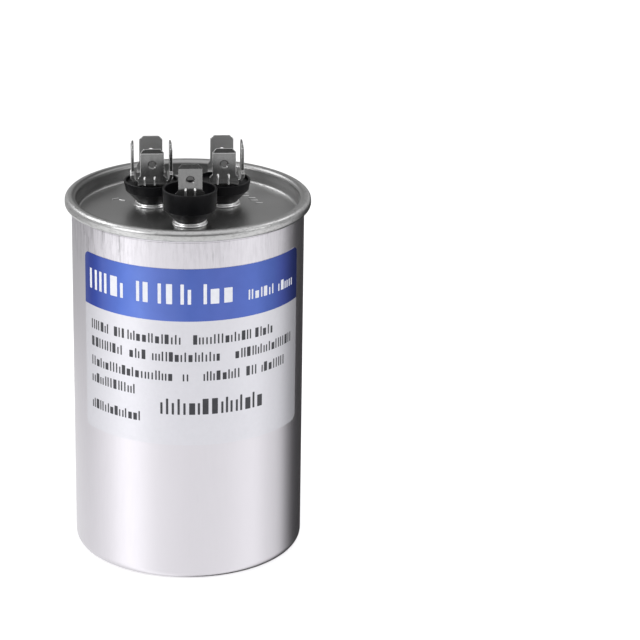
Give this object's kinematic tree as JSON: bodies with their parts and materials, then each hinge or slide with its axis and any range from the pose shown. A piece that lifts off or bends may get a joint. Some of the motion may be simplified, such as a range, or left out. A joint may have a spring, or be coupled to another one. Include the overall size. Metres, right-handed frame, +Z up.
{
  "type": "motor run capacitor",
  "caption": "Round metal-can motor run capacitor with a seamed lid, insulated quick-connect blade terminals and a blue-topped label.",
  "frame": {"origin": "centre of the flat base, on the surface that the can stands on", "axes": "+Z up the can's axis toward the terminals; -Y toward the label and the fan terminal"},
  "size_m": [0.0666, 0.0666, 0.1133],
  "materials": {
    "can": "satin",
    "lid": "satin",
    "terminal_insulator": "satin",
    "terminal_metal": "tin plated",
    "rivet_metal": "tin plated",
    "rubber_seal": "matte",
    "fibre_board": "matte",
    "lead_metal": "tinned",
    "inner_insulator": "matte",
    "film": "metallised film",
    "sprayed_metal": "rough sprayed",
    "wrap_film": "gloss",
    "label_film": "silver film",
    "label_print": "gloss"
  },
  "bodies": {
    "root": {"can": "can", "lid": "lid", "seam_seal": "rubber_seal", "common_cup": "terminal_insulator", "compressor_cup": "terminal_insulator", "fan_cup": "terminal_insulator", "common_strap": "terminal_metal", "common_cross_strap": "terminal_metal", "compressor_strap": "terminal_metal", "compressor_side_tab": "terminal_metal", "fan_tab": "terminal_metal", "common_rivet": "rivet_metal", "compressor_rivet": "rivet_metal", "fan_rivet": "rivet_metal", "common_gasket": "rubber_seal", "compressor_gasket": "rubber_seal", "fan_gasket": "rubber_seal", "common_bushing": "terminal_insulator", "compressor_bushing": "terminal_insulator", "fan_bushing": "terminal_insulator", "interrupter_disc": "fibre_board", "common_lug": "lead_metal", "compressor_lug": "lead_metal", "fan_lug": "lead_metal", "common_lead": "lead_metal", "compressor_lead": "lead_metal", "fan_lead": "lead_metal", "lead_sleeve": "inner_insulator", "top_spacer": "inner_insulator", "film_winding": "film", "core_tube": "inner_insulator", "fan_spray": "sprayed_metal", "compressor_spray": "sprayed_metal", "common_spray": "sprayed_metal", "winding_wrap": "wrap_film", "bottom_insulator": "inner_insulator", "label": "label_film", "label_band": "label_print"}
  },
  "joints": []
}
